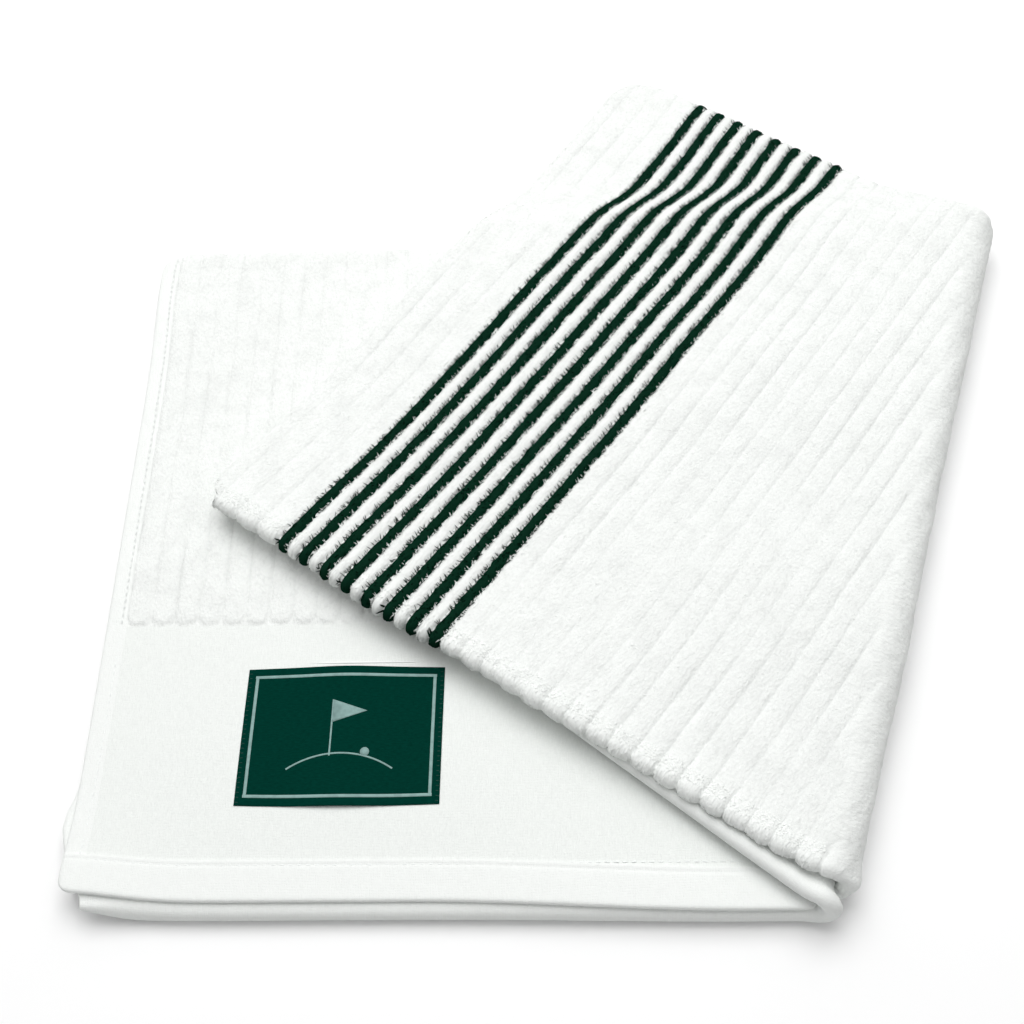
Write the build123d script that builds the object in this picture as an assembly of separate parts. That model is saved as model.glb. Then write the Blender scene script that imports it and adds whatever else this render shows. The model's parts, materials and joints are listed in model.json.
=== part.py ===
from build123d import *
import os
from math import cos, pi, radians, sin, tan

# A cotton golf towel, folded as it is shown for sale. Two crosswise folds make a stack of four leaves.
# A last fold about a leaning line then lays the right-hand part of that stack over the left.
# The left part is the base, the right part is the flap, and the side fold joins them.
# Every piece is first described in the stack as it lies flat: the near left corner is at (0, 0), the
# hem edge runs along X, the side hem runs along Y. Leaf 1 carries the label and is on top of the
# base. Leaf 4 is on the table, and so it is on top of the flap.

# ---- driving dimensions, in millimetres and degrees ----
TOWEL_WIDTH = 560.0      # across the ribs
TOWEL_LENGTH = 1220.0    # along the ribs
LEAF = 3.1               # one leaf of ribbed terry, as it lies
AIR = 0.15               # space between two leaves
BORDER_LEAF = 2.0        # the flat-woven end border
HEM_LEAF = 2.6           # a hem is flat-woven cloth turned under
BORDER_END = 109.0       # hem edge to the first ribs
HEM = 15.0               # depth of the end hems
SIDE_HEM = 8.0           # depth of the side hems
BASE_WIDTH = 263.0       # hem edge of the base, up to the start of the side fold
FOLD_TILT = 17.7         # the side fold leans this far from the ribs
FLAP_GAP = 0.3           # the flap lies this far above the base
SECOND_HEM_OUT = 4.5     # leaf 2 sticks out past leaf 1
NEAR_FOLD_IN = 2.0       # the fold of leaves 3 and 4 lies behind the hem edge
DRAPE_RUN = 38.0         # past the base's far edge the flap comes down to the table over this distance
DRAPE_LEAD = 3.0         # it starts to come down this far before that edge
BASE_CORNER = 10.0       # rounding of the far left corner
FLAP_CORNER = 12.0       # rounding of the flap's two side corners

STRIPES = 8
STRIPE_PITCH = 10.35
STRIPE_WIDTH = 4.6
STRIPE_RISE = 0.6
FIRST_STRIPE = 42.8      # middle of the first stripe, from the flap's side edge

LABEL_WIDTH = 74.5
LABEL_DEPTH = 54.5
LABEL_LEFT = 58.0        # from the side edge
LABEL_NEAR = 35.0        # from the hem edge
LABEL_THICK = 0.6

STITCH_LENGTH = 2.4
STITCH_WIDTH = 0.5
STITCH_RISE = 0.2
STITCH_PITCH = 3.6
STITCH_INSET = 2.0       # stitch line to the edge of the hem or the label

# ---- sizes that follow ----
LEAF_PITCH = LEAF + AIR
STACK = 4 * LEAF_PITCH - AIR                 # height of four leaves
AXIS_Z = STACK + FLAP_GAP / 2                # the side fold turns about this height
TOP_Z = 2 * AXIS_Z                           # top of the flap, where it lies on the base
OUTER_FOLD = STACK / 2                       # radius of the far fold round all four leaves
INNER_FOLD = (2 * LEAF + AIR) / 2            # radius of a fold of two neighbouring leaves
FOLD_CENTRE = TOWEL_LENGTH / 4 - pi * (OUTER_FOLD - LEAF / 2) / 2   # the far folds are centred here
DEPTH = FOLD_CENTRE + OUTER_FOLD             # hem edge to the far edge
SIDE_FOLD_CLOTH = pi * AXIS_Z / 2            # width of cloth in the side fold, at mid stack
TILT = radians(FOLD_TILT)
CREASE = AIR / 2                             # inside of a tight fold
FAR = TOWEL_LENGTH                           # beyond every edge, for shapes that only cut

PIVOT = Vector(BASE_WIDTH, 0, AXIS_Z)
ALONG = Vector(sin(TILT), cos(TILT), 0)      # along the side fold, towards the far edge
OUTWARD = Vector(cos(TILT), -sin(TILT), 0)   # from the base towards the side fold
FLAP_EDGE = Vector(-cos(2 * TILT), sin(2 * TILT), 0)   # the flap's near edge, away from the side fold
FLAP_FAR = Vector(sin(2 * TILT), cos(2 * TILT), 0)     # from the flap's near edge to its far edge
FLAP_START = PIVOT + ALONG * SIDE_FOLD_CLOTH * tan(TILT)   # where the flap's near edge leaves the side fold
TURN = Axis(PIVOT, ALONG)
BREAKS = [DEPTH - DRAPE_LEAD + DRAPE_RUN * part / 6 for part in range(7)]   # where the drape bends

LEAF_Z = {leaf: (4 - leaf) * LEAF_PITCH for leaf in (1, 2, 3, 4)}      # underside in the flat stack
NEAR_EDGE = {1: 0.0, 2: -SECOND_HEM_OUT, 3: NEAR_FOLD_IN + INNER_FOLD, 4: NEAR_FOLD_IN + INNER_FOLD}


def box(left, right, near, far, low, high):
    """A box given by its six limits."""
    size = (right - left, far - near, high - low)
    return Pos((left + right) / 2, (near + far) / 2, (low + high) / 2) * Box(*size)


def left_of_side_fold(gap):
    """Everything to the left of the start of the side fold, less a gap."""
    corner = PIVOT - OUTWARD * gap
    return Plane(origin=corner, x_dir=OUTWARD, z_dir=(0, 0, 1)) * box(-FAR, 0, -FAR, FAR, -FAR, FAR)


def folded_over(piece):
    """Carries a piece of the flat stack, right of the side fold, to where it lies in the flap."""
    return (Pos(OUTWARD * -SIDE_FOLD_CLOTH) * piece).rotate(TURN, 180)


def drop_at(y):
    """How far the flap has come down at this distance from the hem edge: a smooth S."""
    way = min(max((y - BREAKS[0]) / DRAPE_RUN, 0), 1)
    return AXIS_Z * way * way * (3 - 2 * way)


def draped_slab(low, high):
    """A layer as wide as the flap that steps down past the base's far edge."""
    ys = [-FAR, *BREAKS, FAR]
    outline = [(y, low - drop_at(y)) for y in ys] + [(y, high - drop_at(y)) for y in reversed(ys)]
    section = Plane.YZ.offset(-FAR) * make_face(Polyline(*outline, close=True))
    return extrude(section, amount=2 * FAR)


def rounded(left, right, near, far, radius, side):
    """A tall block over a rectangle, with the corners at one side (min or max X) rounded."""
    block = box(left, right, near, far, -FAR, FAR)
    edges = block.edges().filter_by(Axis.Z).sort_by(Axis.X)
    return fillet(edges[:2] if side == "min" else edges[2:], radius)


BASE_SIDE = left_of_side_fold(0)
FLAP_SIDE = left_of_side_fold(AIR)
BASE_PLAN = rounded(0, FAR, -FAR, DEPTH, BASE_CORNER, "min")
FLAP_PLAN = folded_over(rounded(-FAR, TOWEL_WIDTH, -SECOND_HEM_OUT, DEPTH, FLAP_CORNER, "max"))


def in_base(left, right, near, far, low, height):
    """A layer of the base over a rectangle of the flat stack."""
    return box(left, right, near, far, low, low + height) & BASE_PLAN & BASE_SIDE


def in_flap(left, right, near, far, low, height):
    """A layer of the flap over a rectangle of the flat stack: upside down, and draped."""
    over = folded_over(box(left, right, near, far, -FAR, FAR)) & FLAP_SIDE & FLAP_PLAN
    return over & draped_slab(TOP_Z - low - height, TOP_Z - low)


# ---- leaves, borders and hems ----
def leaves_of(name, cut, left, right):
    """The four leaves, and on leaves 1 and 2 the flat-woven border and the end hem."""
    for leaf, low in LEAF_Z.items():
        near = NEAR_EDGE[leaf]
        ribs_near = near + BORDER_END if leaf < 3 else near
        add(f"{name}_leaf_{leaf}", cut(left, right, ribs_near, FOLD_CENTRE, low, LEAF))
        if leaf < 3:
            add(f"{name}_border_{leaf}", cut(left, right, near + HEM, ribs_near, low, BORDER_LEAF))
            add(f"{name}_end_hem_{leaf}", cut(left, right, near, near + HEM, low, HEM_LEAF))


def side_hem(cut, left, right):
    """The side edge of all four leaves, turned under and sewn: one strip on each leaf."""
    return [cut(left, right, NEAR_EDGE[leaf], FOLD_CENTRE, low, HEM_LEAF) for leaf, low in LEAF_Z.items()]


# ---- crosswise folds ----
def half_ring(inner, outer):
    """Half of a ring that bulges towards +X, as the section of a fold."""
    ring = Circle(outer) - Circle(inner)
    return ring & Rectangle(2 * outer, 2 * outer, align=(Align.MIN, Align.CENTER))


def straight_fold(inner, outer, y, z, facing):
    """A fold along X over the whole towel, centred on y and z, bulging to +Y (1) or -Y (-1)."""
    section = Plane(origin=(0, y, z), x_dir=(0, facing, 0), z_dir=(1, 0, 0)) * half_ring(inner, outer)
    return extrude(section, amount=TOWEL_WIDTH)


def draped_fold(inner, outer, z):
    """The far fold of the flap: it steps down with the leaves, one oblique run for each stretch."""
    start = FLAP_START + FLAP_FAR * FOLD_CENTRE
    start.Z = z
    reaches = [-STACK] + [(y - start.Y) / FLAP_EDGE.Y for y in BREAKS if y > start.Y] + [TOWEL_WIDTH]
    points = [start + FLAP_EDGE * reach for reach in reaches]
    points = [point - Vector(0, 0, drop_at(point.Y)) for point in points]
    section = Plane(origin=(0, 0, 0), x_dir=FLAP_FAR, z_dir=FLAP_EDGE) * half_ring(inner, outer)
    runs = [extrude(Pos(here) * section, amount=(there - here).length, dir=(there - here).normalized())
            for here, there in zip(points, points[1:])]
    return Solid.fuse(*[run.solid() for run in runs]) & FLAP_SIDE


# ---- the side fold ----
def side_fold(leaf):
    """One leaf's turn round the side fold: half a tube, cut off at the hem edge and at the far edge."""
    outer = AXIS_Z - LEAF_Z[leaf]
    section = Plane(origin=PIVOT, x_dir=OUTWARD, z_dir=ALONG) * half_ring(outer - LEAF, outer)
    tube = extrude(section, amount=FAR, both=True)
    near = NEAR_EDGE[leaf] if leaf < 3 else NEAR_FOLD_IN
    far = DEPTH if leaf == 4 else FOLD_CENTRE
    climb = SIDE_FOLD_CLOTH * tan(TILT)      # the cut end runs this far along the fold as it climbs
    ends = [(near / cos(TILT), 0), (far / cos(TILT), 0), (far / cos(TILT) + climb, TOP_Z),
            (near / cos(TILT) + climb, TOP_Z)]
    end_face = make_face(Polyline(*ends, close=True))
    side = Plane(origin=(BASE_WIDTH, 0, 0), x_dir=ALONG, z_dir=OUTWARD) * end_face
    return tube & extrude(side, amount=FAR, both=True)


# ---- stripes, label and stitches ----
def stripes():
    """Ribs of green pile on top of the flap, side by side."""
    first = TOWEL_WIDTH - FIRST_STRIPE - STRIPE_WIDTH / 2
    lefts = [first - number * STRIPE_PITCH for number in range(STRIPES)]
    return [in_flap(left, left + STRIPE_WIDTH, NEAR_EDGE[4], FOLD_CENTRE, -STRIPE_RISE, STRIPE_RISE)
            for left in lefts]


def stitch_row(start, end, z):
    """Short stitches lying on a surface in a straight row."""
    start = Vector(*start, z + STITCH_RISE / 2)
    run = Vector(*end, z + STITCH_RISE / 2) - start
    heading = Plane(origin=start, x_dir=run.normalized(), z_dir=(0, 0, 1))
    count = int(run.length / STITCH_PITCH)
    stitch = Box(STITCH_LENGTH, STITCH_WIDTH, STITCH_RISE)
    return [heading * Pos((number + 0.5) * STITCH_PITCH, 0, 0) * stitch for number in range(count)]


def label_side(x):
    """The row of stitches down one side of the label."""
    top = LEAF_Z[1] + BORDER_LEAF + LABEL_THICK
    return stitch_row((x, LABEL_NEAR), (x, LABEL_NEAR + LABEL_DEPTH), top)


nodes = {}


def add(name, *pieces):
    """Keeps a node: one solid, or a group of separate solids."""
    solids = [solid for piece in pieces for solid in piece.solids()]
    nodes[name] = solids[0] if len(solids) == 1 else Compound(solids)


leaves_of("base", in_base, SIDE_HEM, TOWEL_WIDTH)
leaves_of("flap", in_flap, 0, TOWEL_WIDTH - SIDE_HEM)
add("base_side_hem", *side_hem(in_base, 0, SIDE_HEM))
add("flap_side_hem", *side_hem(in_flap, TOWEL_WIDTH - SIDE_HEM, TOWEL_WIDTH))

near_fold = straight_fold(CREASE, INNER_FOLD, NEAR_FOLD_IN + INNER_FOLD, INNER_FOLD, -1)
outer_fold = straight_fold(OUTER_FOLD - LEAF, OUTER_FOLD, FOLD_CENTRE, OUTER_FOLD, 1)
inner_fold = straight_fold(CREASE, INNER_FOLD, FOLD_CENTRE, OUTER_FOLD, 1)
add("base_near_fold", near_fold & BASE_SIDE)
add("base_far_fold_outer", outer_fold & BASE_SIDE & BASE_PLAN)
add("base_far_fold_inner", inner_fold & BASE_SIDE & BASE_PLAN)
add("flap_near_fold", folded_over(near_fold) & FLAP_SIDE & FLAP_PLAN)
add("flap_far_fold_outer", draped_fold(OUTER_FOLD - LEAF, OUTER_FOLD, TOP_Z - OUTER_FOLD) & FLAP_PLAN)
add("flap_far_fold_inner", draped_fold(CREASE, INNER_FOLD, TOP_Z - OUTER_FOLD) & FLAP_PLAN)

for leaf in LEAF_Z:
    add(f"side_fold_leaf_{leaf}", side_fold(leaf))

add("green_stripes", *stripes())
label_floor = LEAF_Z[1] + BORDER_LEAF
add("label", box(LABEL_LEFT, LABEL_LEFT + LABEL_WIDTH, LABEL_NEAR, LABEL_NEAR + LABEL_DEPTH, label_floor,
                 label_floor + LABEL_THICK))
add("label_stitches_left", *label_side(LABEL_LEFT + STITCH_INSET))
add("label_stitches_right", *label_side(LABEL_LEFT + LABEL_WIDTH - STITCH_INSET))
hem_top = LEAF_Z[1] + HEM_LEAF
hem_line = HEM - STITCH_INSET
add("end_hem_stitches", *stitch_row((SIDE_HEM, hem_line), (BASE_WIDTH - SIDE_HEM, hem_line), hem_top))
side_line = SIDE_HEM - STITCH_INSET
add("side_hem_stitches", *stitch_row((side_line, HEM), (side_line, FOLD_CENTRE), hem_top))

# ---- the origin is under the middle of the folded towel, on the table ----
whole = Compound(list(nodes.values())).bounding_box()
centre = Vector((whole.min.X + whole.max.X) / 2, (whole.min.Y + whole.max.Y) / 2, 0)

os.makedirs("parts", exist_ok=True)
for name, shape in nodes.items():
    export_step(shape.moved(Location(-centre)), f"parts/{name}.step")
print(len(nodes), "nodes, folded size", whole.size, "corner of the hem edge at", -centre)
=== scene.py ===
import json
import math

import bmesh
import bpy
import numpy as np
from mathutils import Matrix, Vector


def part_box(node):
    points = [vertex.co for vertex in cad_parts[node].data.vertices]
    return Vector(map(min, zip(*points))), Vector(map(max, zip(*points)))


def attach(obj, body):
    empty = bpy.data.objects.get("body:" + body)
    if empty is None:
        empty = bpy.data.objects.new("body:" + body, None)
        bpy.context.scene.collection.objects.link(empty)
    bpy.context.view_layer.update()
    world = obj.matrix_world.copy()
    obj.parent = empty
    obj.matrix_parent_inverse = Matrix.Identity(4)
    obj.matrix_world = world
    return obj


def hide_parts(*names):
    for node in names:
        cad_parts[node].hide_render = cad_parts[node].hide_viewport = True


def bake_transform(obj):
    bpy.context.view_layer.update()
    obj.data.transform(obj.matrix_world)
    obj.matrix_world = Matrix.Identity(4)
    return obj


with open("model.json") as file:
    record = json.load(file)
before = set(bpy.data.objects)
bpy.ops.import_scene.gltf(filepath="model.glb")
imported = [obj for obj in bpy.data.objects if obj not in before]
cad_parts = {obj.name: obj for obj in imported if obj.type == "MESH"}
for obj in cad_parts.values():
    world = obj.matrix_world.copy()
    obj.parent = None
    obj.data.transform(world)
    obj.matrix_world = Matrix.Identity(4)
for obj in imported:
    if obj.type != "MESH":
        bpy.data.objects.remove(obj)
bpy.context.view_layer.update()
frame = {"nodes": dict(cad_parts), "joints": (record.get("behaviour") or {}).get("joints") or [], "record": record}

# The towel is one sheet of cloth. It is described as the flat stack of four leaves, in millimetres:
# x runs from the side edge across the ribs, y from the hem edge along them, z up from the table.
# fold() then carries the stack's right-hand part over the side fold. Leaf 1 carries the label.

# ---- sizes that come from the frame ----
MM = 0.001              # a millimetre in metres
hinge = frame["joints"][0]
TILT = math.atan2(hinge["axis"][0], hinge["axis"][1])    # how far the side fold leans from the ribs
CORNER = Vector((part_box("base_side_hem")[0].x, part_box("base_end_hem_1")[0].y, 0)) / MM
BASE_WIDTH = hinge["pos_m"][0] / MM - CORNER.x           # from the side edge to the side fold
AXIS_Z = hinge["pos_m"][2] / MM
LEAF = (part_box("base_leaf_1")[1].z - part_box("base_leaf_1")[0].z) / MM    # thickness of a leaf
# The pile is on one side of the cloth, so the ground cloth lies off the middle of each leaf
PILE_SHIFT = {1: -0.7, 2: 0.7, 3: -0.7, 4: 0.7}
MID_Z = {leaf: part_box(f"base_leaf_{leaf}")[0].z / MM + LEAF / 2 + PILE_SHIFT[leaf] for leaf in PILE_SHIFT}
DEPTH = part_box("base_far_fold_outer")[1].y / MM - CORNER.y
FAR_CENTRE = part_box("base_far_fold_outer")[0].y / MM - CORNER.y
NEAR_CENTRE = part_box("base_leaf_4")[0].y / MM - CORNER.y
BORDER_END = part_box("base_leaf_1")[0].y / MM - CORNER.y
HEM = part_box("base_border_1")[0].y / MM - CORNER.y
SECOND_HEM_OUT = -(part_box("base_end_hem_2")[0].y / MM - CORNER.y)
SIDE_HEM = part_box("base_side_hem")[1].x / MM - CORNER.x

# ---- sizes of the cloth ----
TOWEL_WIDTH = 560.0
SIDE_FOLD_CLOTH = math.pi * AXIS_Z / 2
DRAPE_LEAD = 3.0       # how far before the stack's far end the flap starts to hang down
DRAPE_RUN = 38.0       # and over what length it reaches the table
PILE_SIDE = 0.95       # half thickness of the ground cloth under the pile
FLAT_SIDE = 0.9        # half thickness of the flat-woven border
HEM_SIDE = 1.3         # half thickness of a hem
SEAM_IN = 2.0          # how far from a hem's inner edge its stitches lie
FAR_OFF = 999.0        # marks rows that are nowhere near a hem or a border

STRIPES = 8
STRIPE_PITCH = 10.35
STRIPE_WIDTH = 4.6
FIRST_STRIPE = 42.8    # middle of the first stripe, from the flap's side edge
RIB_PITCH = 9.28
FIRST_RIB = 1.5        # where the first rib starts, from the side edge


def smooth(x):
    """0 below 0, 1 above 1, and a smooth S between."""
    x = np.clip(x, 0, 1)
    return x * x * (3 - 2 * x)


def lattice(ix, iy, seed):
    """A repeatable random number from 0 to 1 for each pair of whole numbers."""
    h = (ix.astype(np.int64) * 374761393 + iy.astype(np.int64) * 668265263 + seed * 974634777) & 0xFFFFFFFF
    h = ((h ^ (h >> 13)) * 1274126177) & 0xFFFFFFFF
    return ((h ^ (h >> 16)) & 0xFFFFFF) / float(0xFFFFFF)


def noise(x, y, seed):
    """Smooth random waves from -1 to 1, about one unit across."""
    ix, iy = np.floor(x), np.floor(y)
    fx, fy = smooth(x - ix), smooth(y - iy)
    low = lattice(ix, iy, seed) * (1 - fx) + lattice(ix + 1, iy, seed) * fx
    high = lattice(ix, iy + 1, seed) * (1 - fx) + lattice(ix + 1, iy + 1, seed) * fx
    return 2 * (low * (1 - fy) + high * fy) - 1


# ---- camera ----
CAMERA_PLACE = Vector((180.5, -164, 521.9))     # from the near left corner of the stack
CAMERA_LENS = 52.77
SENSOR_WIDTH = 36
LOOKS_LEFT, LOOKS_DOWN, LEANS = 4.05, 57.63, -4.4       # degrees


def make_camera():
    """At the photograph's viewing angle: from the front, looking down at the folded towel."""
    data = bpy.data.cameras.new("camera")
    data.sensor_width = SENSOR_WIDTH
    data.lens = CAMERA_LENS
    camera = bpy.data.objects.new("camera", data)
    bpy.context.scene.collection.objects.link(camera)
    place = Matrix.Translation((CAMERA_PLACE + CORNER) * MM)
    pan = Matrix.Rotation(math.radians(LOOKS_LEFT), 4, "Z")
    tilt = Matrix.Rotation(math.radians(90 - LOOKS_DOWN), 4, "X")
    roll = Matrix.Rotation(math.radians(LEANS), 4, "Z")
    camera.matrix_world = place @ pan @ tilt @ roll
    bpy.context.scene.camera = camera


make_camera()


# ---- ribs ----
def rib_edges():
    """Where ribs meet, as distances from the side edge that ends up on the flap, and which are green."""
    first = FIRST_STRIPE - STRIPE_WIDTH / 2
    edges = [FIRST_RIB, *np.linspace(SIDE_HEM, first, 4)]
    green = [False] * 4
    for number in range(STRIPES):
        edges.append(edges[-1] + STRIPE_WIDTH)
        green.append(True)
        if number < STRIPES - 1:
            edges.append(edges[-1] + STRIPE_PITCH - STRIPE_WIDTH)
            green.append(False)
    plain = round((TOWEL_WIDTH - SIDE_HEM - edges[-1]) / RIB_PITCH)
    edges += list(np.linspace(edges[-1], TOWEL_WIDTH - SIDE_HEM, plain + 1)[1:])
    green += [False] * plain
    return np.array(edges), np.array(green)


RIB_EDGES, RIB_GREEN = rib_edges()
FIRST_GREEN = int(np.argmax(RIB_GREEN))
STRIPE_ZONE = (FIRST_STRIPE - STRIPE_WIDTH, FIRST_STRIPE + (STRIPES - 1) * STRIPE_PITCH + STRIPE_WIDTH)


def rib_shape(x, y_from_border, fluffy, y, along):
    """Height of the pile above the ground cloth, and how deep in a groove a place is, from 0 to 1, which sets how
    much painted shade the groove gets.
    The pile is fluffy on every leaf but the flattened one with the label."""
    u = TOWEL_WIDTH - x
    rib = np.clip(np.searchsorted(RIB_EDGES, u, side="right") - 1, 0, len(RIB_EDGES) - 2)
    across = (u - RIB_EDGES[rib]) / (RIB_EDGES[rib + 1] - RIB_EDGES[rib])
    inside = (u > RIB_EDGES[0]) & (u < RIB_EDGES[-1])
    off_middle = np.abs(2 * np.clip(across, 0, 1) - 1)
    striped = (u > STRIPE_ZONE[0]) & (u < STRIPE_ZONE[1])
    roundness = np.where(striped, 2.9, np.where(fluffy, 4.0, 5.0))
    top = np.where(striped, np.where(RIB_GREEN[rib], 1.15, 1.6), 0.9)
    uneven = 1.2 + 0.5 * noise(u / 5.1, 0 * u, 41)
    top = top + np.where(fluffy, uneven * np.exp(-((y - NEAR_CENTRE) / 6) ** 2), 0)
    end = smooth((y_from_border - 3.2 * off_middle ** 3) / 1.4)
    depth = np.where(striped, 1, 0.55 + 0.45 * noise(u / 19, along / 45, 43))
    pile = np.where(inside, top * (1 - depth * off_middle ** roundness) * end, 0)
    # The second value is the share of painted shade in the grooves, darkest where two ribs meet
    return pile, np.where(inside, depth * off_middle ** 12 * end, 0)


# ---- the section of the stack: rows along the cloth, from the label end to the other end ----
def hem_side(d):
    """Half thickness at a distance d from a hem edge: a rolled edge, a stitched hem, then one layer."""
    edge = np.sqrt(np.clip(1 - (1 - np.clip(d / HEM_SIDE, 0, 1)) ** 2, 0, 1))
    stitched = 0.22 * np.exp(-((d - HEM + SEAM_IN) / 0.55) ** 2)
    hem = (HEM_SIDE - stitched) * edge
    step = smooth((d - HEM + 0.4) / 0.9)
    ribs = smooth((d - BORDER_END) / 3)
    return hem * (1 - step) + step * (FLAT_SIDE + (PILE_SIDE - FLAT_SIDE) * ribs)


def steps(start, end, pitch):
    """Places from start to end, about a pitch apart, without the last one."""
    return np.linspace(start, end, max(2, int(round(abs(end - start) / pitch)) + 1))[:-1]


# Distances of the first rows from a hem edge: close together at the edge, the stitching and the step
HEM_STEPS = np.array([0, 0.12, 0.35, 0.75, 1.3, 2.2, 3.8, 5.8, 7.8, 9.8, 11.4,
                      12.2, 12.6, 13, 13.4, 13.8, 14.4, 14.9, 15.4, 16, 17])
ROW_FIELDS = ("y", "z", "ny", "nz", "side", "past_border", "from_hem", "leaf")


def leaf_rows(leaf, pitch, forwards):
    """Rows over one leaf from its near end to the far folds, or back."""
    up = 1.0 if forwards else -1.0
    if leaf < 3:
        near = 0.0 if leaf == 1 else -SECOND_HEM_OUT
        d = np.concatenate([HEM_STEPS, steps(19, BORDER_END - 3, min(pitch * 1.5, 12)),
                            steps(BORDER_END - 3, BORDER_END + 6, 0.75),
                            steps(BORDER_END + 6, FAR_CENTRE - near, pitch)])
        side, past_border = hem_side(d), d - BORDER_END
    else:
        near = NEAR_CENTRE
        d = steps(0, FAR_CENTRE - near, pitch)
        side, past_border = np.full(len(d), PILE_SIDE), np.full(len(d), FAR_OFF)
    from_hem = d if leaf < 3 else np.full(len(d), FAR_OFF)
    if not forwards:
        if leaf > 2:
            d = FAR_CENTRE - near - d
        else:
            d, side, past_border, from_hem = d[::-1], side[::-1], past_border[::-1], from_hem[::-1]
    return [(near + dd, MID_Z[leaf], 0, up, hh, pp, ff, leaf)
            for dd, hh, pp, ff in zip(d, side, past_border, from_hem)]


def fold_rows(y, z, radius, start, end, count, leaf):
    """Rows round a crosswise fold, from one angle up to another. Side A is on the left of the way."""
    facing = 1 if end < start else -1
    angles = np.radians(np.linspace(start, end, count, endpoint=False))
    return [(y + radius * c, z + radius * s, facing * c, facing * s, PILE_SIDE, FAR_OFF, FAR_OFF, leaf)
            for c, s in zip(np.cos(angles), np.sin(angles))]


def section(pitches):
    """All rows of the stack as arrays. pitches gives the row pitch for each leaf."""
    middle = (MID_Z[1] + MID_Z[4]) / 2
    outer = (MID_Z[1] - MID_Z[4]) / 2
    inner = (MID_Z[2] - MID_Z[3]) / 2
    under = (MID_Z[3] - MID_Z[4]) / 2
    rows = leaf_rows(1, pitches[1], True)
    rows += fold_rows(FAR_CENTRE, middle, outer, 90, -90, 14, 1.5)
    rows += leaf_rows(4, pitches[4], False)
    rows += fold_rows(NEAR_CENTRE, MID_Z[4] + under, under, 270, 90, 14, 3.5)
    rows += leaf_rows(3, pitches[3], True)
    rows += fold_rows(FAR_CENTRE, middle, inner, -90, 90, 9, 2.5)
    rows.append((FAR_CENTRE, MID_Z[2], 0, -1, PILE_SIDE, FAR_OFF, FAR_OFF, 2))
    rows += leaf_rows(2, pitches[2], False)
    table = {name: column for name, column in zip(ROW_FIELDS, np.array(rows, float).T)}
    gaps = np.hypot(np.diff(table["y"]), np.diff(table["z"]))
    table["along"] = np.concatenate([[0], np.cumsum(gaps)])
    return table


# ---- from the flat stack to the folded towel ----
def to_fold_line(x, y):
    """Distance out from the start of the side fold, and distance along it."""
    x = x - BASE_WIDTH
    return x * math.cos(TILT) - y * math.sin(TILT), x * math.sin(TILT) + y * math.cos(TILT)


def from_fold_line(out, along):
    """The way back from to_fold_line."""
    x = out * math.cos(TILT) + along * math.sin(TILT)
    return x + BASE_WIDTH, along * math.cos(TILT) - out * math.sin(TILT)


def round_corner(x, y, corner_x, corner_y, radius):
    """Pulls the cloth near a corner of the stack in, so that the corner is round."""
    inwards_x = 1 if corner_x < TOWEL_WIDTH / 2 else -1
    inwards_y = 1 if corner_y < DEPTH / 2 else -1
    a = np.clip(1 - (x - corner_x) * inwards_x / radius, 0, 1.2)
    b = np.clip(1 - (y - corner_y) * inwards_y / radius, 0, 1.2)
    near = (a > 0) & (b > 0)
    new_x = corner_x + inwards_x * radius * (1 - a * np.sqrt(1 - b * b / 2))
    new_y = corner_y + inwards_y * radius * (1 - b * np.sqrt(1 - a * a / 2))
    return np.where(near, new_x, x), np.where(near, new_y, y)


def near_edge_shift(leaf, x, flapness, across_flap):
    """How far a leaf's near edge lies from its place in the frame: the edges are not quite even."""
    at_fold = smooth((x - 120) / 120)
    first = (1 - flapness) * -4.2 * at_fold + flapness * 3.0
    second = (1 - flapness) * -1.6 * at_fold + flapness * np.minimum(-6.8 + 20 * across_flap, 4)
    hanging = -4.9 - 5.8 * across_flap + 3.3 * smooth((across_flap - 0.62) / 0.3)
    folded = 3.0 * (1 - flapness) + flapness * hanging
    return np.where(leaf < 1.7, first, np.where(leaf < 2.3, second, folded))


def flap_bow(x, way):
    """Sideways bend of the flap along its ribs: the middle lies to the right, and both ends to the left.
    The striped part also fans out towards its near end."""
    near_end = np.exp(-(way / 0.15) ** 2)
    far_end = np.exp(-((1 - way) / 0.1) ** 2)
    from_stripes = TOWEL_WIDTH - x - (STRIPE_ZONE[0] + STRIPE_ZONE[1]) / 2
    fan = (0.01 + 0.04 * near_end - 0.03 * far_end) * from_stripes * np.exp(-(from_stripes / 70) ** 2)
    return 2.8 * np.sin(math.pi * np.clip(way, 0, 1)) - 3.2 * near_end - 3.8 * far_end + fan


def soften_corners(x, y, z):
    """Rounds the stack's corners, lifts the near left one, draws in both on the left, and makes the far
    end of what becomes the flap a little longer."""
    radii = {(0, 0): 5, (0, DEPTH): 13, (TOWEL_WIDTH, 0): 7, (TOWEL_WIDTH, DEPTH): 24}
    for corner, radius in radii.items():
        x, y = round_corner(x, y, *corner, radius)
    near = np.exp(-(x / 26) ** 2 - (y / 26) ** 2) * smooth(z / 9)
    far = np.exp(-(x / 40) ** 2 - ((y - DEPTH + 18) / 34) ** 2)
    longer = 2.2 * smooth((y - DEPTH + 60) / 60) * smooth((x - BASE_WIDTH - 60) / 120)
    return x - 1.4 * near - 2.0 * far, y + 3.2 * near + longer, z + 2.6 * near


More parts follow.
